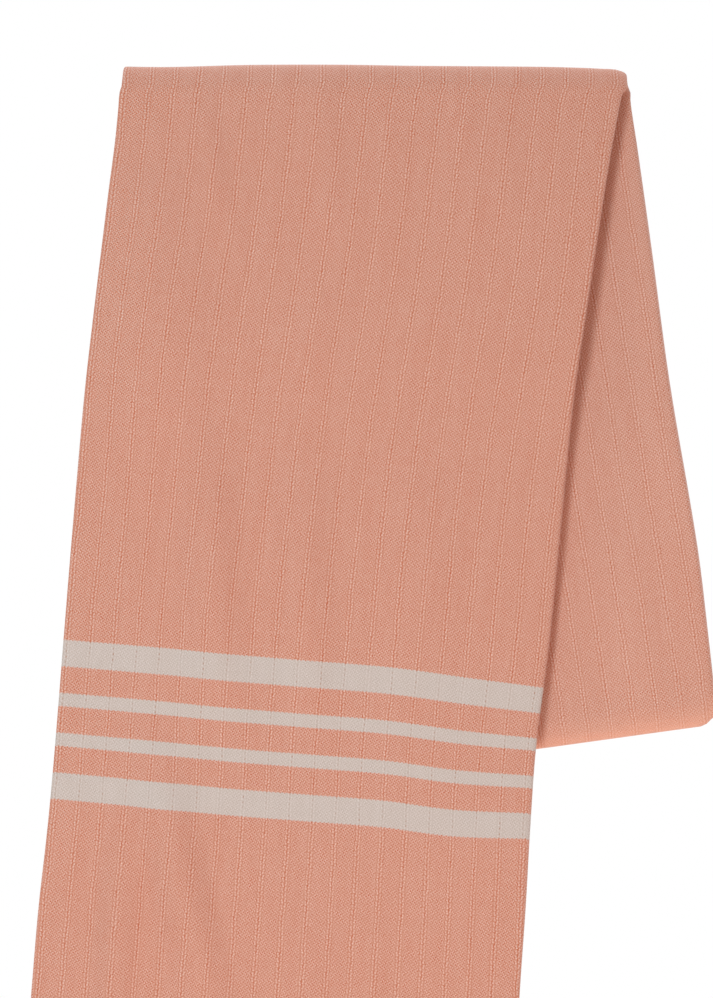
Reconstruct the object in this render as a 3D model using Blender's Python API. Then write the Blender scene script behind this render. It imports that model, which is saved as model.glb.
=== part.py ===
"""Hammam towel, folded in four lengthwise and in half crosswise, hung askew over a thin level bar.

The cloth is one flat-woven piece, so it is one solid. The cut end of the folded strip, four plies thick, is
drawn in the section plane and extruded row by row: up the front tail, over the crest, down the rear tail,
round the crosswise fold at its foot and back the same way under itself. Each row is then laid over the bar.

World frame: +X to the right, +Y away from the viewer, +Z up. The origin is on the bar's top line, at the
middle of the crest. Lengths are in millimetres up to lay_over_bar(), which returns metres.
"""
from bisect import bisect_right
from math import copysign, cos, pi, sin

import bmesh
import bpy
from mathutils import Vector

MM = 0.001

# The cloth and how it is folded
CLOTH_WIDTH = 1000.0
CLOTH_LENGTH = 1800.0
PLY = 1.0                   # thickness of the cloth
GAP = 0.4                   # air between two plies
PLIES_IN_STRIP = 4
STRIP = PLIES_IN_STRIP * PLY + (PLIES_IN_STRIP - 1) * GAP
HALF_WIDTH = CLOTH_WIDTH / PLIES_IN_STRIP / 2
SELVEDGE_SETBACK = {"inner ply": 3.0, "third ply": 2.0}    # from the strip's left edge

# The bar and the bend over it
BAR_RADIUS = 4.0
STACK = 2 * STRIP + GAP     # both strips, one on the other
ARC = pi / 2 * (BAR_RADIUS + STACK)    # from the crest's top line to where a tail hangs straight

# The strip's two ends, as distances from the crest along its outer ply
REAR_FOOT = 357.3           # lowest line of the crosswise fold
FOOT_LOOP = 3.0             # the two strips stand this far apart inside that fold
LOOP_LENGTH = 60.0          # and close up over this length above it
FOOT_RADIUS = STRIP + FOOT_LOOP / 2
FOOT_LINE = REAR_FOOT - FOOT_RADIUS
FRONT_HEM = FOOT_LINE + FOOT_RADIUS * pi / 2 - CLOTH_LENGTH / 2
HEM_STEP = 2.5              # each ply hangs this much lower than the ply in front of it
HEM_STEP_LENGTH = 250.0
INNER_STRIP_INSET = 2.5     # at either side of the front tail, grown from nothing at the crest
INSET_LENGTH = 100.0
CORNER_LIFT = 3.2           # the crosswise fold's right corner is drawn up this much
CORNER_ACROSS = 7.0         # from this far inside the edge
CORNER_TURN = 4.0
CORNER_LENGTH = 30.0

# Lines across the cloth run down to the right in front and up to the right behind, for it hangs askew
SLOPE_FRONT = 0.096
SLOPE_REAR = 0.134
SLOPE_LENGTH = 130.0

# Both edges of the hanging strip. Distance is over the crest, with the front tail negative.
EDGE_COLUMNS = ("distance", "left", "right")
EDGES = (
    (-590.0, -179.5, 67.4),
    (-541.5, -176.3, 69.9),
    (-471.5, -170.7, 74.0),
    (-431.5, -167.3, 76.8),
    (-391.5, -162.8, 79.1),
    (-351.5, -159.1, 82.0),
    (-296.5, -154.7, 89.0),
    (-236.5, -149.8, 95.0),
    (-176.5, -144.4, 101.0),
    (-131.5, -139.2, 107.5),
    (-71.5, -131.9, 116.5),
    (-50.0, -129.1, 120.1),
    (-31.0, -127.2, 123.6),
    (-24.0, -126.7, 125.2),
    (-19.5, -125.6, 127.3),
    (0.0, -124.7, 128.0),
    (15.0, -123.2, 128.9),
    (20.0, -122.5, 130.1),
    (27.0, -121.4, 130.2),
    (51.5, -117.6, 133.9),
    (101.5, -110.6, 141.0),
    (171.5, -100.0, 150.5),
    (251.5, -86.6, 163.9),
    (291.5, -79.9, 168.8),
    (335.0, -73.2, 173.5),
    (370.0, -68.7, 176.5),
)

# How far the tails swing towards each other under the bar
SWAY_COLUMNS = ("distance", "rearward")
SWAY = (
    (-590.0, 3.3),
    (-320.0, 3.2),
    (-211.0, 3.4),
    (-181.0, 1.9),
    (-151.0, 0.2),
    (-110.0, 0.0),
    (110.0, 0.0),
    (151.0, -0.2),
    (181.0, -1.9),
    (211.0, -3.4),
    (370.0, -3.2),
)

# The plies are pressed together more at the crest's ends, above all at the thick right fold
PRESS_COLUMNS = ("x", "share")
PRESS = (
    (-130.0, 0.92),
    (-103.0, 0.89),
    (-62.0, 0.99),
    (-15.0, 1.0),
    (20.0, 0.95),
    (85.0, 0.90),
    (105.0, 0.85),
    (116.0, 0.80),
    (122.0, 0.77),
    (127.0, 0.62),
    (131.0, 0.50),
)
PRESS_LENGTH = 60.0         # below the crest, over which the plies ease apart again

# Broad soft waves in the hanging cloth: a crest line from top to foot, and how far it stands out to its
# own side. Distances as above.
WAVES = (
    {"top": (-90.0, -60.0), "foot": (-120.0, -560.0), "half_width": 62.0, "height": 1.6},
    {"top": (40.0, -180.0), "foot": (10.0, -480.0), "half_width": 80.0, "height": 1.1},
    {"top": (-30.0, -380.0), "foot": (-50.0, -640.0), "half_width": 60.0, "height": 2.4},
    {"top": (120.0, 80.0), "foot": (150.0, 400.0), "half_width": 70.0, "height": 1.4},
    {"top": (10.0, 120.0), "foot": (40.0, 420.0), "half_width": 75.0, "height": 1.8},
)

# How finely the solid is divided
STEPS_ACROSS = 6            # of each ply between its folds
STEPS_WIDE_FOLD = 6
STEPS_TIGHT_FOLD = 4
STEPS_FRONT = 8
STEPS_CREST = 8
STEPS_REAR = 6
STEPS_FOOT = 6

TOWEL_COLOUR = (0.624, 0.301, 0.219)
TOWEL_ROUGHNESS = 0.92


def clear_scene():
    for thing in list(bpy.data.objects):
        bpy.data.objects.remove(thing, do_unlink=True)


def smooth_step(value):
    share = min(max(value, 0.0), 1.0)
    return share * share * (3.0 - 2.0 * share)


def read(table, columns, place, column):
    """A column's value at a place in the first column, on a smooth curve through the table's rows."""
    pick = columns.index(column)
    places = [row[0] for row in table]
    values = [row[pick] for row in table]
    place = min(max(place, places[0]), places[-1])
    low = min(bisect_right(places, place), len(places) - 1) - 1

    def slope(at):
        before = max(at - 1, 0)
        after = min(at + 1, len(places) - 1)
        return (values[after] - values[before]) / (places[after] - places[before])

    span = places[low + 1] - places[low]
    t = (place - places[low]) / span
    return (values[low] * (1 + 2 * t) * (1 - t) ** 2
            + values[low + 1] * t * t * (3 - 2 * t)
            + slope(low) * span * t * (1 - t) ** 2
            - slope(low + 1) * span * t * t * (1 - t))


def strip_stations():
    """The strip's section from selvedge to selvedge: points on the cloth's mid-line, with their normals.

    x is across the strip and y is up through its plies. The cloth runs right along the innermost ply, round
    the wide fold, left along the outermost ply, round the tight fold, right again, round the nested fold
    and left to its other selvedge.
    """
    pitch = PLY + GAP
    right = Vector((HALF_WIDTH - STRIP / 2, STRIP / 2))
    left = Vector((-HALF_WIDTH + PLY + GAP / 2, STRIP - PLY - GAP / 2))
    up = Vector((0.0, 1.0))
    stations = []

    def run(ply, normal, leftward, selvedge_setback=None):
        depth = STRIP - PLY / 2 - (ply - 1) * pitch
        places = [left.x + (right.x - left.x) * step / STEPS_ACROSS for step in range(STEPS_ACROSS + 1)]
        places.insert(-1, HALF_WIDTH - CORNER_ACROSS)
        if selvedge_setback:
            places[0] = -HALF_WIDTH + selvedge_setback
        if leftward:
            places.reverse()
        stations.extend((Vector((across, depth)), normal) for across in places)

    def turn(centre, radius, start, end, steps, side):
        for step in range(1, steps):
            angle = start + (end - start) * step / steps
            outward = Vector((cos(angle), sin(angle)))
            stations.append((centre + radius * outward, side * outward))

    run(4, -up, False, SELVEDGE_SETBACK["inner ply"])
    turn(right, (STRIP - PLY) / 2, -pi / 2, pi / 2, STEPS_WIDE_FOLD, 1)
    run(1, up, True)
    turn(left, pitch / 2, pi / 2, 3 * pi / 2, STEPS_TIGHT_FOLD, 1)
    run(2, -up, False)
    turn(right, pitch / 2, pi / 2, -pi / 2, STEPS_TIGHT_FOLD, -1)
    run(3, up, True, SELVEDGE_SETBACK["third ply"])
    return stations


def strip_rows():
    """Rows of the strip from the front hem round the foot and back: (leg, distance or angle)."""
    def steps(start, end, count):
        return [start + (end - start) * step / count for step in range(count)]

    over = (steps(FRONT_HEM, -ARC, STEPS_FRONT)
            + steps(-ARC, ARC, STEPS_CREST)
            + steps(ARC, FOOT_LINE, STEPS_REAR))
    rows = [("outer", distance) for distance in over]
    rows += [("foot", angle) for angle in steps(0.0, pi, STEPS_FOOT)]
    rows += [("inner", FOOT_LINE)]
    rows += [("inner", distance) for distance in reversed(over)]
    return rows


def stack_place(depth, leg, place):
    """Distance over the crest and height above the bar of a point this deep in the strip."""
    if leg == "inner":
        return place, STRIP - depth
    if leg == "foot":
        radius = FOOT_LOOP / 2 + depth
        return FOOT_LINE + radius * sin(place), STRIP + FOOT_LOOP / 2 + radius * cos(place)
    opened = smooth_step((place - FOOT_LINE + LOOP_LENGTH) / LOOP_LENGTH)
    return place, STRIP + GAP + (FOOT_LOOP - GAP) * opened + depth


def wave(x, distance):
    """How far the soft waves carry the cloth rearward here: out from the bar, on either tail."""
    outward = 0.0
    for crest in WAVES:
        (top_x, top), (foot_x, foot) = crest["top"], crest["foot"]
        down = (distance - top) / (foot - top)
        if 0.0 < down < 1.0:
            off = (x - top_x - (foot_x - top_x) * down) / crest["half_width"]
            if abs(off) < 1.0:
                outward += crest["height"] * sin(pi * down) * (0.5 + 0.5 * cos(pi * off))
    return copysign(outward, distance)


def lay_over_bar(across, depth, leg, place):
    """World position, in metres, of a point of the strip."""
    distance, height = stack_place(depth, leg, place)
    below_crest = abs(distance) - ARC
    slope = SLOPE_FRONT if distance < 0 else SLOPE_REAR
    hem_share = smooth_step((FRONT_HEM + HEM_STEP_LENGTH - distance) / HEM_STEP_LENGTH)
    foot_share = smooth_step((distance - FOOT_LINE + CORNER_LENGTH) / CORNER_LENGTH)
    corner_share = smooth_step((across - HALF_WIDTH + CORNER_ACROSS) / CORNER_TURN)
    if leg == "inner":
        across *= 1 - INNER_STRIP_INSET / HALF_WIDTH * smooth_step(-distance / INSET_LENGTH)
    distance -= across * slope * smooth_step(below_crest / SLOPE_LENGTH)
    distance -= HEM_STEP * (STACK - height) / (PLY + GAP) * hem_share
    distance -= CORNER_LIFT * corner_share * foot_share

    left = read(EDGES, EDGE_COLUMNS, distance, "left")
    right = read(EDGES, EDGE_COLUMNS, distance, "right")
    x = left + (right - left) * (across + HALF_WIDTH) / (2 * HALF_WIDTH)

    below_crest = abs(distance) - ARC
    eased = smooth_step(below_crest / PRESS_LENGTH)
    pressed = read(PRESS, PRESS_COLUMNS, x, "share")
    radius = BAR_RADIUS + height * (pressed + (1 - pressed) * eased)
    if below_crest < 0:
        angle = distance / ARC * pi / 2
        y = radius * sin(angle)
        z = radius * cos(angle) - BAR_RADIUS
    else:
        y = copysign(radius, distance)
        z = -BAR_RADIUS - below_crest
    y += read(SWAY, SWAY_COLUMNS, distance, "rearward") + wave(x, distance)
    return Vector((x, y, z)) * MM


def cut_end(folded):
    """The strip's cut end at row 0: one quad between each two stations, with the depth in y."""
    pairs = []
    for middle, normal in strip_stations():
        faces = (middle + normal * PLY / 2, middle - normal * PLY / 2)
        pairs.append([folded.verts.new((point.x, point.y, 0.0)) for point in faces])
    for (outer, inner), (next_outer, next_inner) in zip(pairs, pairs[1:]):
        folded.faces.new((outer, inner, next_inner, next_outer))


def build_towel():
    folded = bmesh.new()
    cut_end(folded)
    rows = strip_rows()
    end = folded.verts[:] + folded.edges[:] + folded.faces[:]
    for row in range(1, len(rows)):
        end = bmesh.ops.extrude_face_region(folded, geom=end)["geom"]
        for corner in end:
            if isinstance(corner, bmesh.types.BMVert):
                corner.co.z = row
    for corner in folded.verts:
        leg, place = rows[round(corner.co.z)]
        corner.co = lay_over_bar(corner.co.x, corner.co.y, leg, place)
    bmesh.ops.recalc_face_normals(folded, faces=folded.faces[:])
    mesh = bpy.data.meshes.new("towel")
    folded.to_mesh(mesh)
    folded.free()
    return mesh


def towel_cloth():
    """Salmon cotton: matt, with no gloss to speak of."""
    material = bpy.data.materials.new("towel_cloth")
    material.use_nodes = True
    shader = material.node_tree.nodes["Principled BSDF"]
    shader.inputs["Base Color"].default_value = (*TOWEL_COLOUR, 1.0)
    shader.inputs["Roughness"].default_value = TOWEL_ROUGHNESS
    shader.inputs["Metallic"].default_value = 0.0
    return material


def main():
    clear_scene()
    mesh = build_towel()
    mesh.materials.append(towel_cloth())
    mesh.shade_smooth()
    towel = bpy.data.objects.new("towel", mesh)
    bpy.context.scene.collection.objects.link(towel)


main()
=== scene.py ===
"""Looks of the hammam towel: the whole cloth as one thin woven sheet, folded and hung as its solid is.

Lengths are in millimetres up to lay_over_bar(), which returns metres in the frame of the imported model:
+X to the right, +Y away from the viewer, +Z up, with the origin on the top line of the unseen bar.
"""

import math
from functools import partial

import bmesh
import bpy
import numpy as np
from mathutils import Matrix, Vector


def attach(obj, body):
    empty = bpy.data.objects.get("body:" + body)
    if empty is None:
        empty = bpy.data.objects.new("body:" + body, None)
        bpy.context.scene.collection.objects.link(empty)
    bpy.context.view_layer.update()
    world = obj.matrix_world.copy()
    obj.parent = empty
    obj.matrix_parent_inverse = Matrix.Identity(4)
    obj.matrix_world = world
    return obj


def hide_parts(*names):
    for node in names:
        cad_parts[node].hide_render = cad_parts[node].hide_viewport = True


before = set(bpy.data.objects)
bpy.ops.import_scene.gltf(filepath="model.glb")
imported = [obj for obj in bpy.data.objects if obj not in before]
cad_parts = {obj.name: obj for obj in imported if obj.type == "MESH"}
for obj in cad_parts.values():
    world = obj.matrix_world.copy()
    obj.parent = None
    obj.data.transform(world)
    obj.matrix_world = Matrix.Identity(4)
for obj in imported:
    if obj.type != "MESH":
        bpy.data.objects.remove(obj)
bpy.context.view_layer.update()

MM = 0.001

# The cloth and how it is folded, as in the solid
CLOTH_WIDTH = 1000.0
CLOTH_LENGTH = 1800.0
PLY = 1.0
GAP = 0.4
STRIP = 4 * PLY + 3 * GAP
STACK = 2 * STRIP + GAP
HALF_WIDTH = CLOTH_WIDTH / 8
INNER_SELVEDGE_SETBACK = 3.0
THIRD_SELVEDGE_SETBACK = 2.0
BAR_RADIUS = 4.0
ARC = math.pi / 2 * (BAR_RADIUS + STACK)
REAR_FOOT = 357.3
FOOT_LOOP = 3.0
LOOP_LENGTH = 60.0
FOOT_RADIUS = STRIP + FOOT_LOOP / 2
FOOT_LINE = REAR_FOOT - FOOT_RADIUS
FRONT_HEM = FOOT_LINE + FOOT_RADIUS * math.pi / 2 - CLOTH_LENGTH / 2
HEM_STEP = 2.5
HEM_STEP_LENGTH = 250.0
INNER_STRIP_INSET = 2.5
INSET_LENGTH = 100.0
CORNER_LIFT = 3.2
CORNER_ACROSS = 7.0
CORNER_TURN = 4.0
CORNER_LENGTH = 30.0
SLOPE_FRONT = 0.096
SLOPE_REAR = 0.134
SLOPE_LENGTH = 130.0
PRESS_LENGTH = 60.0

# Both edges of the hanging strip: distance over the crest (front negative), left, right
EDGES = np.array((
    (-590.0, -179.5, 67.4),
    (-541.5, -176.3, 69.9),
    (-471.5, -170.7, 74.0),
    (-431.5, -167.3, 76.8),
    (-391.5, -162.8, 79.1),
    (-351.5, -159.1, 82.0),
    (-296.5, -154.7, 89.0),
    (-236.5, -149.8, 95.0),
    (-176.5, -144.4, 101.0),
    (-131.5, -139.2, 107.5),
    (-71.5, -131.9, 116.5),
    (-50.0, -129.1, 120.1),
    (-31.0, -127.2, 123.6),
    (-24.0, -126.7, 125.2),
    (-19.5, -125.6, 127.3),
    (0.0, -124.7, 128.0),
    (15.0, -123.2, 128.9),
    (20.0, -122.5, 130.1),
    (27.0, -121.4, 130.2),
    (51.5, -117.6, 133.9),
    (101.5, -110.6, 141.0),
    (171.5, -100.0, 150.5),
    (251.5, -86.6, 163.9),
    (291.5, -79.9, 168.8),
    (335.0, -73.2, 173.5),
    (370.0, -68.7, 176.5),
))
LEFT_EDGE, RIGHT_EDGE = 1, 2    # its columns
# How far the tails swing towards each other under the bar: distance, rearward
SWAY = np.array((
    (-590.0, 3.3),
    (-320.0, 3.2),
    (-211.0, 3.4),
    (-181.0, 1.9),
    (-151.0, 0.2),
    (-110.0, 0.0),
    (110.0, 0.0),
    (151.0, -0.2),
    (181.0, -1.9),
    (211.0, -3.4),
    (370.0, -3.2),
))
# How much of its full depth the stack keeps at the crest: x, share
PRESS = np.array((
    (-130.0, 0.92),
    (-103.0, 0.89),
    (-62.0, 0.99),
    (-15.0, 1.0),
    (20.0, 0.95),
    (85.0, 0.90),
    (105.0, 0.85),
    (116.0, 0.80),
    (122.0, 0.77),
    (127.0, 0.62),
    (131.0, 0.50),
))
# Broad soft waves: a crest line from top to foot, each end as (x, distance), and how far it stands out
WAVES = (
    {"top": (-90.0, -60.0), "foot": (-120.0, -560.0), "half_width": 62.0, "height": 1.6},
    {"top": (40.0, -180.0), "foot": (10.0, -480.0), "half_width": 80.0, "height": 1.1},
    {"top": (-30.0, -380.0), "foot": (-50.0, -640.0), "half_width": 60.0, "height": 2.4},
    {"top": (120.0, 80.0), "foot": (150.0, 400.0), "half_width": 70.0, "height": 1.4},
    {"top": (10.0, 120.0), "foot": (40.0, 420.0), "half_width": 75.0, "height": 1.8},
)
# Soft creases that the photo shows, in the same terms: each lifts the shown ply alone from those under it
CREASES = (
    {"top": (-109.0, -8.0), "foot": (-107.0, -100.0), "half_width": 9.0, "height": 0.9},
    {"top": (-114.0, -60.0), "foot": (-116.0, -135.0), "half_width": 9.0, "height": 0.9},
    {"top": (-91.0, -4.0), "foot": (-73.0, -105.0), "half_width": 12.0, "height": 3.4},
    {"top": (-27.0, -6.0), "foot": (-22.0, -110.0), "half_width": 14.0, "height": 2.6},
    {"top": (11.0, -22.0), "foot": (10.0, -100.0), "half_width": 7.0, "height": 0.6},
    {"top": (47.0, -15.0), "foot": (49.0, -110.0), "half_width": 12.0, "height": 1.0},
    {"top": (63.0, -12.0), "foot": (66.0, -110.0), "half_width": 12.0, "height": 1.0},
    {"top": (-108.0, -60.0), "foot": (-112.0, -235.0), "half_width": 40.0, "height": 6.5},
    {"top": (-27.0, -95.0), "foot": (-30.0, -215.0), "half_width": 18.0, "height": 1.6},
    {"top": (-83.0, -185.0), "foot": (-79.0, -345.0), "half_width": 20.0, "height": 5.6},
    {"top": (-37.0, -185.0), "foot": (-33.0, -345.0), "half_width": 20.0, "height": 4.8},
    {"top": (20.0, -170.0), "foot": (18.0, -345.0), "half_width": 24.0, "height": 1.8},
    {"top": (-116.0, -335.0), "foot": (-74.0, -515.0), "half_width": 20.0, "height": 8.0},
    {"top": (-124.0, -380.0), "foot": (-134.0, -530.0), "half_width": 13.0, "height": 5.2},
    {"top": (-32.0, -410.0), "foot": (-28.0, -570.0), "half_width": 14.0, "height": 1.5},
    {"top": (-3.0, -400.0), "foot": (-5.0, -560.0), "half_width": 14.0, "height": 1.3},
    {"top": (125.0, 28.0), "foot": (147.0, 225.0), "half_width": 18.0, "height": 2.6},
    {"top": (140.0, 28.0), "foot": (168.0, 352.0), "half_width": 55.0, "height": 4.5},
    {"top": (93.0, 255.0), "foot": (102.0, 352.0), "half_width": 10.0, "height": 1.2},
    {"top": (120.0, 225.0), "foot": (140.0, 352.0), "half_width": 24.0, "height": 3.0},
)

# How far the shown ply's cords run to the left of straight: distance from the front hem along the cloth,
# then at each of these places across the strip
DRIFT_PLACES = (-123.0, -86.0, -50.0, 24.0, 121.0)
CORD_DRIFT = np.array((
    (80.0, -1.4, -1.5, -1.9, -2.0, -2.0),
    (150.0, -0.7, -0.9, -1.1, -0.7, -0.5),
    (250.0, -0.2, 0.4, 2.6, 2.3, 0.6),
    (310.0, -1.1, -0.3, 1.2, 1.7, 1.1),
    (400.0, -0.5, 0.3, -0.4, -1.1, -2.2),
    (450.0, -1.0, -1.1, -1.2, -1.5, -1.8),
    (540.0, -0.3, 0.0, 0.2, 1.0, 2.0),
    (600.0, 0.0, 0.0, 0.0, 0.0, 0.0),
    (860.0, 0.0, 0.0, 0.0, 0.0, 1.0),
    (920.0, 2.2, 2.2, 2.2, 2.2, 2.1),
    (1010.0, 4.4, 4.4, 4.4, 4.4, 4.5),
    (1080.0, 3.0, 3.0, 3.0, 3.0, 3.4),
    (1200.0, 4.8, 4.8, 4.8, 4.8, 4.8),
    (1300.0, 0.0, 0.0, 0.0, 0.0, 0.0),
))
# How far the stripes bow upwards from straight: place across the strip, the lowest stripe, the highest
STRIPE_BOW = np.array((
    (-125.0, -1.1, -1.2),
    (-70.0, -0.7, -0.3),
    (-30.0, -0.6, -0.1),
    (10.0, 0.3, 0.7),
    (48.0, 1.1, 1.25),
    (85.0, 0.1, -0.1),
    (125.0, 2.6, -1.3),
))
AT_LOWEST, AT_HIGHEST = 1, 2    # its columns
BOW_SPAN = (158.0, 224.0, 330.0)    # along the cloth: lowest stripe, highest stripe, no bow from here on

# How finely the sheet is divided: across each ply between its folds, and along the strip
STEPS_SHOWN_PLY = 82
STEPS_HIDDEN_PLY = 8
STEPS_WIDE_FOLD = 10
STEPS_TIGHT_FOLD = 8
STEPS_HEM = 4
STEPS_FRONT = 104
CREST_ZONE = 1.6 * ARC      # to either side of the crest, divided the most finely
STEPS_CREST = 26
STEPS_REAR = 66
STEPS_FOOT = 12
INNER_SHARE = 0.45          # of those steps, on the strip that lies against the bar
HEM_DEPTH = 12.0
HEM_EXTRA = 1.25            # the hem's thickness, against the cloth's


# ---------------------------------------------------------------- shape

def smooth_step(value):
    share = np.clip(value, 0.0, 1.0)
    return share * share * (3.0 - 2.0 * share)


def read(table, place, column=1):
    """A column's values at places in the first column, on a smooth curve through the table's rows."""
    places = table[:, 0]
    values = table[:, column]
    place = np.clip(place, places[0], places[-1])
    low = np.clip(np.searchsorted(places, place, side="right"), 1, len(places) - 1) - 1
    before = np.maximum(np.arange(len(places)) - 1, 0)
    after = np.minimum(np.arange(len(places)) + 1, len(places) - 1)
    slope = (values[after] - values[before]) / (places[after] - places[before])
    span = places[low + 1] - places[low]
    t = (place - places[low]) / span
    return (values[low] * (1 + 2 * t) * (1 - t) ** 2
            + values[low + 1] * t * t * (3 - 2 * t)
            + slope[low] * span * t * (1 - t) ** 2
            - slope[low + 1] * span * t * t * (1 - t))


def steps(start, end, count):
    return np.linspace(start, end, count, endpoint=False)


def cloth_columns():
    """Across the cloth from selvedge to selvedge: place in the strip's section, and on the flat cloth.

    Ply 1 is the one that shows, and the others follow behind it.
    """
    pitch = PLY + GAP
    right = np.array((HALF_WIDTH - STRIP / 2, STRIP / 2))
    left = np.array((-HALF_WIDTH + PLY + GAP / 2, STRIP - PLY - GAP / 2))
    section = []

    def run(ply, start, end, count):
        depth = STRIP - PLY / 2 - (ply - 1) * pitch
        section.extend((across, depth) for across in np.linspace(start, end, count + 1))

    def turn(centre, radius, start, end, count):
        for angle in steps(start, end, count)[1:]:
            section.append(tuple(centre + radius * np.array((math.cos(angle), math.sin(angle)))))

    quarter = math.pi / 2
    run(4, -HALF_WIDTH + INNER_SELVEDGE_SETBACK, right[0], STEPS_HIDDEN_PLY)
    turn(right, (STRIP - PLY) / 2, -quarter, quarter, STEPS_WIDE_FOLD)
    run(1, right[0], left[0], STEPS_SHOWN_PLY)
    turn(left, pitch / 2, quarter, 3 * quarter, STEPS_TIGHT_FOLD)
    run(2, left[0], right[0], STEPS_HIDDEN_PLY)
    turn(right, pitch / 2, quarter, -quarter, STEPS_TIGHT_FOLD)
    run(3, right[0], -HALF_WIDTH + THIRD_SELVEDGE_SETBACK, STEPS_HIDDEN_PLY)
    section = np.array(section)
    run_length = np.concatenate(((0.0,), np.cumsum(np.linalg.norm(np.diff(section, axis=0), axis=1))))
    return section, run_length * CLOTH_WIDTH / run_length[-1]


def cloth_rows():
    """Along the cloth from hem to hem: leg, place on it, and place on the flat cloth."""
    def over(share):
        return np.concatenate((
            steps(FRONT_HEM, FRONT_HEM + HEM_DEPTH, STEPS_HEM),
            steps(FRONT_HEM + HEM_DEPTH, -CREST_ZONE, round(STEPS_FRONT * share)),
            steps(-CREST_ZONE, CREST_ZONE, STEPS_CREST),
            steps(CREST_ZONE, FOOT_LINE, round(STEPS_REAR * share)),
        ))

    outer = over(1.0)
    turn = steps(0.0, math.pi, STEPS_FOOT)
    inner = np.concatenate(((FOOT_LINE,), over(INNER_SHARE)[::-1]))
    legs = np.repeat(("outer", "foot", "inner"), (len(outer), len(turn), len(inner)))
    places = np.concatenate((outer, turn, inner))
    half = CLOTH_LENGTH / 2
    half_turn = FOOT_RADIUS * math.pi / 2
    along = np.concatenate((
        (outer - FRONT_HEM) * (half - half_turn) / (FOOT_LINE - FRONT_HEM),
        half + (turn - math.pi / 2) * FOOT_RADIUS,
        half + half_turn + (FOOT_LINE - inner) * (half - half_turn) / (FOOT_LINE - FRONT_HEM),
    ))
    return legs, places, along


def stack_place(depth, leg, place):
    """Distance over the crest and height above the bar of points this deep in the strip."""
    opened = smooth_step((place - FOOT_LINE + LOOP_LENGTH) / LOOP_LENGTH)
    radius = FOOT_LOOP / 2 + depth
    foot = leg == "foot"
    inner = leg == "inner"
    distance = np.where(foot, FOOT_LINE + radius * np.sin(place), place + 0 * depth)
    height = np.where(foot, STRIP + FOOT_LOOP / 2 + radius * np.cos(place),
                      np.where(inner, STRIP - depth, STRIP + GAP + (FOOT_LOOP - GAP) * opened + depth))
    return distance, height


def relief(x, distance, forms):
    """How far soft waves or creases carry the cloth outwards."""
    outward = np.zeros_like(x)
    for form in forms:
        (top_x, top), (foot_x, foot) = form["top"], form["foot"]
        down = (distance - top) / (foot - top)
        off = (x - top_x - (foot_x - top_x) * down) / form["half_width"]
        shown = (down > 0) & (down < 1) & (np.abs(off) < 1)
        swell = form["height"] * np.sin(np.pi * down) * (0.5 + 0.5 * np.cos(np.pi * off))
        outward += np.where(shown, swell, 0.0)
    return outward


def lay_over_bar(across, depth, leg, place):
    """World positions, in metres, of points of the strip."""
    distance, height = stack_place(depth, leg, place)
    below_crest = np.abs(distance) - ARC
    slope = np.where(distance < 0, SLOPE_FRONT, SLOPE_REAR)
    hem_share = smooth_step((FRONT_HEM + HEM_STEP_LENGTH - distance) / HEM_STEP_LENGTH)
    foot_share = smooth_step((distance - FOOT_LINE + CORNER_LENGTH) / CORNER_LENGTH)
    corner_share = smooth_step((across - HALF_WIDTH + CORNER_ACROSS) / CORNER_TURN)
    grown = np.where(leg == "inner", smooth_step(-distance / INSET_LENGTH), 0.0)
    across = across * (1 - INNER_STRIP_INSET / HALF_WIDTH * grown)
    distance = distance - across * slope * smooth_step(below_crest / SLOPE_LENGTH)
    distance = distance - HEM_STEP * (STACK - height) / (PLY + GAP) * hem_share
    distance = distance - CORNER_LIFT * corner_share * foot_share

    left = read(EDGES, distance, LEFT_EDGE)
    right = read(EDGES, distance, RIGHT_EDGE)
    x = left + (right - left) * (across + HALF_WIDTH) / (2 * HALF_WIDTH)

    below_crest = np.abs(distance) - ARC
    pressed = read(PRESS, x)
    radius = BAR_RADIUS + height * (pressed + (1 - pressed) * smooth_step(below_crest / PRESS_LENGTH))
    bent = below_crest < 0
    angle = distance / ARC * math.pi / 2
    side = np.sign(distance)
    y = np.where(bent, radius * np.sin(angle), radius * side)
    z = np.where(bent, radius * np.cos(angle) - BAR_RADIUS, -BAR_RADIUS - below_crest)
    y = y + read(SWAY, distance)
    y = y + side * relief(x, distance, WAVES)
    # Creases lift the shown ply: outwards, and towards the viewer where it faces the front behind the bar
    shown = smooth_step(1 - (STRIP - PLY / 2 - depth) / (PLY + GAP))
    away = np.where(leg == "outer", side, np.where((leg == "inner") & (distance > 0), -1.0, 0.0))
    y = y + shown * away * relief(x, distance, CREASES)
    return np.stack((x, y, z), axis=-1) * MM


def weave_drift(across, flat_across, along):
    """How far the weave has drifted on the cloth: to the left, and up towards the crest."""
    right_fold, left_fold = CLOTH_WIDTH / 4, CLOTH_WIDTH / 2
    place = np.where(flat_across < right_fold, HALF_WIDTH, across)
    place = np.where(flat_across > left_fold, -HALF_WIDTH, place)
    sideways = np.zeros_like(place)
    for column in range(len(DRIFT_PLACES)):
        nearness = np.interp(place, DRIFT_PLACES, np.eye(len(DRIFT_PLACES))[column])
        sideways += nearness * read(CORD_DRIFT, along, column + 1)
    lowest, highest, none = BOW_SPAN
    rise = np.clip((along - lowest) / (highest - lowest), 0.0, 1.0)
    bow = read(STRIPE_BOW, place, AT_LOWEST) * (1 - rise) + read(STRIPE_BOW, place, AT_HIGHEST) * rise
    return sideways, bow * (1 - smooth_step((along - highest) / (none - highest)))


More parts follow.
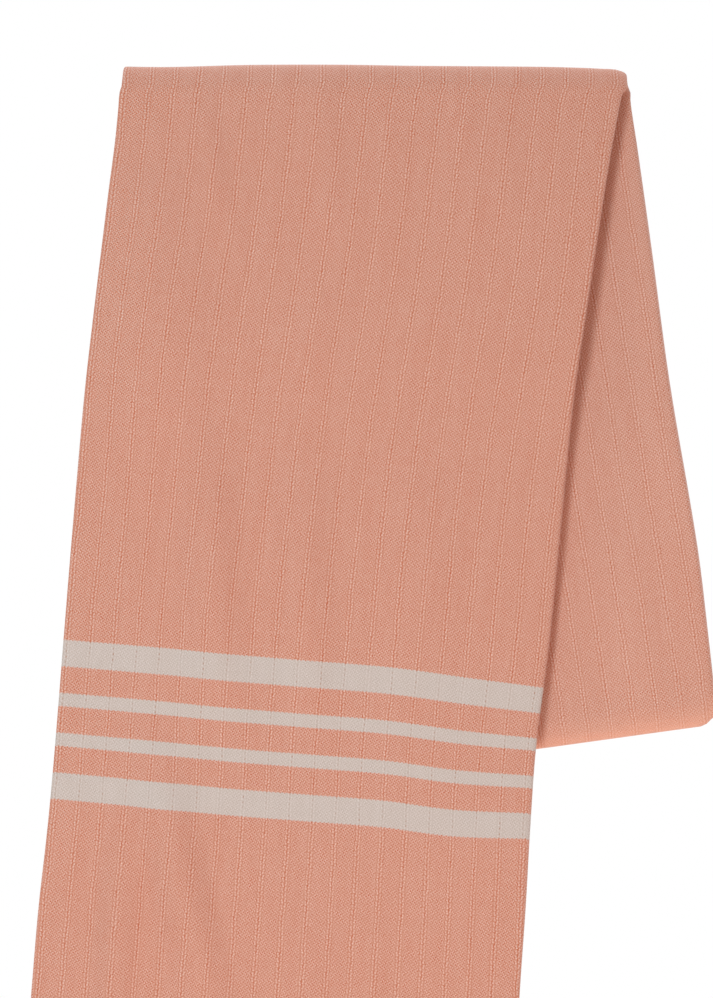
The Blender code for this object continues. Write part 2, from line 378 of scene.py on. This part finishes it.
def woven_sheet():
    """The whole cloth: a flat grid with its weave's places as UVs, folded and hung."""
    section, flat_across = cloth_columns()
    legs, places, flat_along = cloth_rows()
    columns, rows = len(section), len(places)

    flat = bmesh.new()
    bmesh.ops.create_grid(flat, x_segments=columns - 1, y_segments=rows - 1, size=1.0)
    mesh = bpy.data.meshes.new("hammam_cloth")
    flat.to_mesh(mesh)
    flat.free()

    count = len(mesh.vertices)
    spots = np.empty(count * 3)
    mesh.vertices.foreach_get("co", spots)
    spots = spots.reshape(count, 3)
    column = np.rint((spots[:, 0] + 1) / 2 * (columns - 1)).astype(int)
    row = np.rint((spots[:, 1] + 1) / 2 * (rows - 1)).astype(int)
    hung = lay_over_bar(section[column, 0], section[column, 1], legs[row], places[row])
    mesh.vertices.foreach_set("co", hung.ravel())

    corners = np.empty(len(mesh.loops), dtype=int)
    mesh.loops.foreach_get("vertex_index", corners)
    weave_map = mesh.uv_layers.new(name="weave")
    sideways, upwards = weave_drift(section[column, 0], flat_across[column], flat_along[row])
    flat_places = np.stack((flat_across[column] - sideways, flat_along[row] - upwards), axis=-1) * MM
    weave_map.data.foreach_set("uv", flat_places[corners].ravel())

    mesh.shade_smooth()
    cloth = bpy.data.objects.new("hammam_cloth", mesh)
    bpy.context.scene.collection.objects.link(cloth)

    from_hem = np.minimum(flat_along, CLOTH_LENGTH - flat_along)[row]
    hems = cloth.vertex_groups.new(name="hems")
    body = cloth.vertex_groups.new(name="cloth")
    hems.add(np.flatnonzero(from_hem <= HEM_DEPTH).tolist(), 1.0, "REPLACE")
    body.add(np.flatnonzero(from_hem > HEM_DEPTH).tolist(), 1.0, "REPLACE")
    thickness = cloth.modifiers.new("thickness", "SOLIDIFY")
    thickness.thickness = PLY * HEM_EXTRA * MM
    thickness.offset = 0.0
    thickness.vertex_group = "hems"
    thickness.thickness_vertex_group = 1 / HEM_EXTRA
    return cloth


# ---------------------------------------------------------------- materials

def linear(colour):
    """A hex sRGB colour as linear red, green, blue and alpha."""
    parts = (int(colour[at:at + 2], 16) / 255 for at in (1, 3, 5))
    return (*(part / 12.92 if part <= 0.04045 else ((part + 0.055) / 1.055) ** 2.4 for part in parts), 1.0)


def add(tree, kind, inputs=(), **settings):
    """A new node with its settings. Each input is a value, an output, or a node, for its first output."""
    node = tree.nodes.new(kind)
    for name, value in settings.items():
        setattr(node, name, value)
    in_use = [socket for socket in node.inputs if socket.enabled]
    for name, value in inputs.items() if isinstance(inputs, dict) else enumerate(inputs):
        socket = in_use[name] if isinstance(name, int) else node.inputs[name]
        if isinstance(value, bpy.types.Node):
            value = next(output for output in value.outputs if output.enabled)
        if isinstance(value, bpy.types.NodeSocket):
            tree.links.new(value, socket)
        else:
            socket.default_value = value
    return node


def new_material(name):
    """A material whose node tree is empty but for a Principled shader on its output."""
    material = bpy.data.materials.new(name)
    material.use_nodes = True
    tree = material.node_tree
    tree.nodes.clear()
    shader = add(tree, "ShaderNodeBsdfPrincipled")
    add(tree, "ShaderNodeOutputMaterial", {"Surface": shader})
    return material, tree, shader


# The weave, in millimetres of flat cloth
REPEAT_ACROSS = 2.29        # four ends 0.57 mm apart
REPEAT_ALONG = 2.65         # four picks 0.66 mm apart
TWILL = (                   # broken twill as waves: turns across and along, eighths of a turn late, strength
    (1, 1, 1, 0.09),
    (1, -1, 3, 0.09),
    (1, 2, 4, 0.18),
    (1, -2, 4, 0.18),
    (2, 1, 5, 0.16),
    (2, -1, 3, 0.16),
)
CORD_PITCH = 12.28          # from one pair of pale warp cords to the next, with a pair on the middle line
CORD_SPACING = 1.6          # between the two cords of a pair
CORD_REACH = 2.55           # from a pair's middle to where it ends
CORD_SWING = 0.17           # each cord swings this far to either side in each repeat
CORD_LAG = 1.08             # radians of a repeat by which one cord leads the pair's middle and one lags
CORD_DARK = 0.4             # strength of the dark line between the two cords
CORD_DARK_BEADS = 0.08      # how much that line swells and thins, once in each repeat
CORD_BEADS = (0.15, 0.4)    # strength of the pale cords' beads, once and twice in each repeat
CORD_FADE = 0.6             # power by which cords fade into the twill: under 1 they fade late and quickly
WARP_WANDER = 1.2           # span of the noise that moves ends sideways
WARP_WANDER_WAVES = 95.0    # and its waves in a metre of cloth
WEFT_WANDER = 2.0           # the same for picks, along the cloth
WEFT_WANDER_WAVES = 60.0
UNEVEN_WAVES = 500.0        # of the patches in which threads stand out more or less
UNEVEN_GAIN = 2.4           # threads' strength is this much times that noise,
UNEVEN_LOSS = 0.2           # less this
STRIPE_START = 151.5        # from the hem to the first greige stripe
STRIPE_UNIT = 6.607         # the narrow stripes' width, and half the wide ones'
STRIPES = ((0, 2), (4, 5), (7, 8), (10, 12))    # both edges of each stripe, in such units
STRIPE_EDGE = 0.5           # over which cotton turns to greige
STRIPE_TEETH = 0.2          # how far the weave tooths that edge
CORDS_WEAKER = 0.25         # share by which cords show less on a stripe
WEAVE_FLATTER = 0.15        # and the whole weave
DOT_REACH = 0.55            # of the salmon dots on a stripe, to either side of a cord pair's middle
DOT_POWER = 3.0             # how short they are
DOT_SCATTER = 2.5           # how unlike each other

# Cotton's deep and pale colours are the yarn's own tones. The deep side is also painted shade in the gaps
# between yarns, and the pale side is also a painted highlight on fuzzy fibres.
COTTON_DEEP = "#C37052"
COTTON_PALE = "#E0B2A3"
COTTON_FOLD_GLOW = "#F0AF97"     # painted glow: a paler, warmer band along the crosswise fold, standing in for light there
FOLD_GLOW_SHARE = 0.6            # how much of that shows on the fold's line
FOLD_GLOW_REACH = 17.0           # and how far it fades to either side
INSIDE_PALER = 0.08         # the half that hangs inside is this much nearer the pale colour
GREIGE_DEEP = "#BDAAA0"
GREIGE_PALE = "#D8CBC7"
GREIGE_TIE = "#A8755A"      # the dots
SHADE_NOISES = (            # waves in a metre across and along, detail, roughness, strength
    ((240.0, 240.0, 1.0), 3.0, 0.6, 0.12),     # blotches
    ((150.0, 12.0, 1.0), 2.0, 0.6, 0.13),      # broad soft bands along the warp
    ((3000.0, 2900.0, 1.0), 1.0, 0.7, 2.0),    # fuzz, finer than yarn, coarser than real fibres to show
    ((800.0, 60.0, 1.0), 1.0, 0.5, 0.14),      # streaks along the warp
    ((50.0, 600.0, 1.0), 1.0, 0.5, 0.08),      # streaks along the weft
)


def flat_woven_cotton():
    """Flat-woven cotton, dull and a little fuzzy: a four-end broken twill with pairs of pale warp cords."""
    material, tree, shader = new_material("flat_woven_cotton")
    node = partial(add, tree)
    MATH, NOISE, MIX = "ShaderNodeMath", "ShaderNodeTexNoise", "ShaderNodeMix"
    place = node("ShaderNodeUVMap", uv_map="weave")
    split = node("ShaderNodeSeparateXYZ", (place,))
    across, along = split.outputs[0], split.outputs[1]

    # Yarn wanders a little from its straight line
    wander = node(NOISE, {"Vector": place, "Scale": WARP_WANDER_WAVES, "Detail": 3.0},
                  noise_dimensions="2D")
    wander = node(MATH, (wander, -0.5), operation="ADD")
    across_yarn = node(MATH, (wander, WARP_WANDER * MM, across), operation="MULTIPLY_ADD")
    bow = node(NOISE, {"Vector": place, "Scale": WEFT_WANDER_WAVES, "Detail": 1.0},
               noise_dimensions="2D")
    bow = node(MATH, (bow, -0.5), operation="ADD")
    along_yarn = node(MATH, (bow, WEFT_WANDER * MM, along), operation="MULTIPLY_ADD")
    across_turn = node(MATH, (across_yarn, 2 * math.pi / (REPEAT_ACROSS * MM)), operation="MULTIPLY")
    along_turn = node(MATH, (along_yarn, 2 * math.pi / (REPEAT_ALONG * MM)), operation="MULTIPLY")

    # Greige stripes, alike at both hems, with edges toothed by the weave
    other_hem = node(MATH, (CLOTH_LENGTH * MM, along), operation="SUBTRACT")
    from_hem = node(MATH, (along, other_hem), operation="MINIMUM")
    teeth = node(MATH, (across_turn,), operation="COSINE")
    from_hem = node(MATH, (teeth, STRIPE_TEETH * MM, from_hem), operation="MULTIPLY_ADD")
    striped = 0.0
    for near, far in STRIPES:
        middle = STRIPE_START + (near + far) / 2 * STRIPE_UNIT
        reach = (far - near) / 2 * STRIPE_UNIT
        off = node(MATH, (from_hem, middle * MM), operation="SUBTRACT")
        off = node(MATH, (off,), operation="ABSOLUTE")
        inside = node(MATH, (off, -1 / (STRIPE_EDGE * MM), reach / STRIPE_EDGE + 0.5),
                      operation="MULTIPLY_ADD", use_clamp=True)
        striped = node(MATH, (striped, inside), operation="ADD")

    # The broken twill: small dark dips where yarn ties, each with a pale knot on the next end. The dips are
    # partly painted shade between the yarns, and the knots partly a painted highlight on fuzz.
    ground = 0.0
    for turns_across, turns_along, late, strength in TWILL:
        angle = node(MATH, (across_turn, turns_across, -late * math.pi / 4), operation="MULTIPLY_ADD")
        angle = node(MATH, (along_turn, turns_along, angle), operation="MULTIPLY_ADD")
        wave = node(MATH, (angle,), operation="COSINE")
        ground = node(MATH, (wave, strength, ground), operation="MULTIPLY_ADD")

    # Cords: two pale zigzag lines with a dark one between, beaded where the weft ties them. side tells the
    # two cords of a pair apart, and off_cord is the distance from the nearest pair's middle.
    from_middle = node(MATH, (across_yarn, -CLOTH_WIDTH / 2 * MM), operation="ADD")
    side = node(MATH, (from_middle, 2 * math.pi / (CORD_PITCH * MM)), operation="MULTIPLY")
    side = node(MATH, (side,), operation="SINE")
    side = node(MATH, (side,), operation="SIGN")
    bead_turn = node(MATH, (side, CORD_LAG, along_turn), operation="MULTIPLY_ADD")
    swing = node(MATH, (bead_turn,), operation="SINE")
    off_cord = node(MATH, (from_middle, CORD_PITCH / 2 * MM), operation="PINGPONG")
    off_line = node(MATH, (swing, -CORD_SWING * MM, off_cord), operation="MULTIPLY_ADD")
    dark = node(MATH, (off_line, 2 * math.pi / (CORD_SPACING * MM)), operation="MULTIPLY")
    dark = node(MATH, (dark,), operation="COSINE")
    bead = node(MATH, (bead_turn,), operation="COSINE")
    double_turn = node(MATH, (bead_turn, 2.0), operation="MULTIPLY")
    double_bead = node(MATH, (double_turn,), operation="COSINE")
    once, twice = CORD_BEADS
    depth = node(MATH, (bead, -CORD_DARK_BEADS, -CORD_DARK), operation="MULTIPLY_ADD")
    pale = node(MATH, (dark, -0.5, 0.5), operation="MULTIPLY_ADD")
    beads = node(MATH, (bead, once), operation="MULTIPLY")
    beads = node(MATH, (double_bead, -twice, beads), operation="MULTIPLY_ADD")
    beads = node(MATH, (beads, pale), operation="MULTIPLY")
    lines = node(MATH, (dark, depth, beads), operation="MULTIPLY_ADD")
    weaker = node(MATH, (striped, -CORDS_WEAKER, 1.0), operation="MULTIPLY_ADD")
    lines = node(MATH, (lines, weaker), operation="MULTIPLY")
    fade = node(MATH, (off_cord, -1 / (CORD_REACH * MM), 1.0), operation="MULTIPLY_ADD", use_clamp=True)
    fade = node(MATH, (fade, CORD_FADE), operation="POWER")
    threads = node(MIX, (fade, ground, lines), data_type="FLOAT")
    flatter = node(MATH, (striped, -WEAVE_FLATTER, 1.0), operation="MULTIPLY_ADD")
    threads = node(MATH, (threads, flatter), operation="MULTIPLY")

    # Uneven yarn: patches of threads stand out more, streaks run along both yarns, and there is fine fuzz
    uneven = node(NOISE, {"Vector": place, "Scale": UNEVEN_WAVES, "Detail": 3.0}, noise_dimensions="2D")
    uneven = node(MATH, (uneven, UNEVEN_GAIN, -UNEVEN_LOSS), operation="MULTIPLY_ADD")
    relief_height = node(MATH, (threads, uneven), operation="MULTIPLY")
    shade = 0.0
    for stretch, detail, roughness, strength in SHADE_NOISES:
        stretched = node("ShaderNodeVectorMath", (place, stretch), operation="MULTIPLY")
        streak = node(NOISE, {"Vector": stretched, "Scale": 1.0, "Detail": detail, "Roughness": roughness},
                      noise_dimensions="2D")
        streak = node(MATH, (streak, -0.5), operation="ADD")
        shade = node(MATH, (streak, strength, shade), operation="MULTIPLY_ADD")
    shade = node(MATH, (shade, relief_height), operation="ADD")
    shade = node(MATH, (shade, 0.5), operation="ADD")
    inside_half = node(MATH, (along, CLOTH_LENGTH / 2 * MM), operation="GREATER_THAN")
    shade = node(MATH, (inside_half, INSIDE_PALER, shade), operation="MULTIPLY_ADD")

    # Salmon cotton, with a painted glow of light along the crosswise fold
    cotton = node(MIX, (shade, linear(COTTON_DEEP), linear(COTTON_PALE)), data_type="RGBA",
                  clamp_factor=False, clamp_result=True)
    from_fold = node(MATH, (along, -CLOTH_LENGTH / 2 * MM), operation="ADD")
    from_fold = node(MATH, (from_fold,), operation="ABSOLUTE")
    fold_glow = node(MATH, (from_fold, -FOLD_GLOW_SHARE / (FOLD_GLOW_REACH * MM), FOLD_GLOW_SHARE), operation="MULTIPLY_ADD",
                use_clamp=True)
    cotton = node(MIX, (fold_glow, cotton.outputs[2], linear(COTTON_FOLD_GLOW)), data_type="RGBA")

    # Greige weft. Between a pair's cords the salmon warp shows through it as small dots.
    greige = node(MIX, (shade, linear(GREIGE_DEEP), linear(GREIGE_PALE)), data_type="RGBA",
                  clamp_factor=False)
    dots = node(MATH, (along_turn,), operation="COSINE")
    dots = node(MATH, (dots, 0.5, 0.5), operation="MULTIPLY_ADD")
    dots = node(MATH, (dots, DOT_POWER), operation="POWER")
    between = node(MATH, (off_cord, -1 / (DOT_REACH * MM), 1.0), operation="MULTIPLY_ADD", use_clamp=True)
    dots = node(MATH, (dots, between), operation="MULTIPLY")
    seldom = node(MATH, (wander, DOT_SCATTER, 0.5), operation="MULTIPLY_ADD", use_clamp=True)
    dots = node(MATH, (dots, seldom), operation="MULTIPLY")
    greige = node(MIX, (dots, greige.outputs[2], linear(GREIGE_TIE)), data_type="RGBA")
    colour = node(MIX, (striped, cotton, greige), data_type="RGBA")

    bump = node("ShaderNodeBump", {"Height": relief_height, "Strength": 0.25, "Distance": 0.2 * MM})
    tree.links.new(colour.outputs[2], shader.inputs["Base Color"])
    tree.links.new(bump.outputs[0], shader.inputs["Normal"])
    shader.inputs["Roughness"].default_value = 0.92
    shader.inputs["Specular IOR Level"].default_value = 0.2
    shader.inputs["Sheen Weight"].default_value = 0.2
    shader.inputs["Sheen Roughness"].default_value = 0.5
    return material


# ---------------------------------------------------------------- the piece

towel = woven_sheet()
towel.data.materials.append(flat_woven_cotton())
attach(towel, "root")
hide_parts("towel")


# ---------------------------------------------------------------- studio

PHOTO_WIDTH = 713
PHOTO_HEIGHT = 998
PIXEL = 0.5 * MM            # one pixel of the photo, on the front tail
CREST_COLUMN = 372.5        # the photo's column over the origin
CREST_ROW = 64.7            # and its row at the crest's top
CAMERA_DISTANCE = 2.5
FLOOR_HEIGHT = -1.1
FLOOR_RADIUS = 2.5
ROOM_FRONT = 0.05           # how brightly the room shines from the viewer's side
ROOM_BEHIND = 1.5           # and from above and behind the towel
ROOM_AXIS = (0.0, 0.7, 0.7)    # towards its brightest part
ROOM_DIM = -0.15            # a direction's share along that axis up to which the room is dim
ROOM_BRIGHT = 0.6           # and from which it is bright
LIT_POINT = (0.0, 0.0, -0.25)
LAMPS = (                   # name, colour, size in metres, watts, place
    ("softbox", "#E2F9FF", 0.38, 13.0, (-0.42, -1.5, 0.12)),
    ("warm_reflector", "#FFCBAE", 0.7, 5.0, (0.4, -1.5, -0.75)),
)


def set_camera():
    """Level and square to the bar, as far off as gives the photo's frame at the front tail."""
    camera = bpy.data.cameras.new("camera")
    front = (BAR_RADIUS + STACK) * MM
    camera.lens = camera.sensor_width * (CAMERA_DISTANCE - front) / (PHOTO_HEIGHT * PIXEL)
    eye = bpy.data.objects.new("camera", camera)
    bpy.context.scene.collection.objects.link(eye)
    middle_x = (PHOTO_WIDTH / 2 - CREST_COLUMN) * PIXEL
    crest_pixel = PIXEL * CAMERA_DISTANCE / (CAMERA_DISTANCE - front)
    middle_z = STACK * MM - (PHOTO_HEIGHT / 2 - CREST_ROW) * crest_pixel
    eye.location = (middle_x, -CAMERA_DISTANCE, middle_z)
    eye.rotation_euler = (math.pi / 2, 0.0, 0.0)
    bpy.context.scene.camera = eye


def lay_floor():
    circle = bmesh.new()
    bmesh.ops.create_circle(circle, cap_ends=True, segments=96, radius=FLOOR_RADIUS)
    bmesh.ops.translate(circle, verts=circle.verts[:], vec=(0.0, 0.0, FLOOR_HEIGHT))
    mesh = bpy.data.meshes.new("floor")
    circle.to_mesh(mesh)
    circle.free()
    floor = bpy.data.objects.new("floor", mesh)
    bpy.context.scene.collection.objects.link(floor)
    material, _, shader = new_material("matt_floor_paint")
    shader.inputs["Base Color"].default_value = linear("#F0E9E2")
    shader.inputs["Roughness"].default_value = 0.8
    mesh.materials.append(material)


def light_studio():
    """A white sweep behind and above, a dim room in front, and two lamps there: a cool softbox at the
    left, and a warm reflector low at the right, which fills the shadow between the tails.
    """
    scene = bpy.context.scene
    scene.view_settings.view_transform = "Standard"
    world = bpy.data.worlds.new("white_sweep")
    world.use_nodes = True
    scene.world = world
    tree = world.node_tree
    tree.nodes.clear()
    white = (1.0, 1.0, 1.0, 1.0)
    direction = add(tree, "ShaderNodeTexCoord").outputs["Object"]
    turned = add(tree, "ShaderNodeVectorMath", (direction, ROOM_AXIS), operation="DOT_PRODUCT")
    behind = add(tree, "ShaderNodeMapRange", (turned, ROOM_DIM, ROOM_BRIGHT, ROOM_FRONT, ROOM_BEHIND),
                 interpolation_type="SMOOTHSTEP")
    room = add(tree, "ShaderNodeBackground", {"Color": white, "Strength": behind})
    backdrop = add(tree, "ShaderNodeBackground", {"Color": white, "Strength": 1.0})
    seen = add(tree, "ShaderNodeLightPath")
    both = add(tree, "ShaderNodeMixShader", (seen, room, backdrop))
    add(tree, "ShaderNodeOutputWorld", {"Surface": both})

    for name, colour, size, watts, place in LAMPS:
        light = bpy.data.lights.new(name, "AREA")
        light.shape = "SQUARE"
        light.size = size
        light.energy = watts
        light.color = linear(colour)[:3]
        lamp = bpy.data.objects.new(name, light)
        scene.collection.objects.link(lamp)
        lamp.location = place
        lamp.rotation_euler = (Vector(LIT_POINT) - lamp.location).to_track_quat("-Z", "Y").to_euler()


set_camera()
lay_floor()
light_studio()
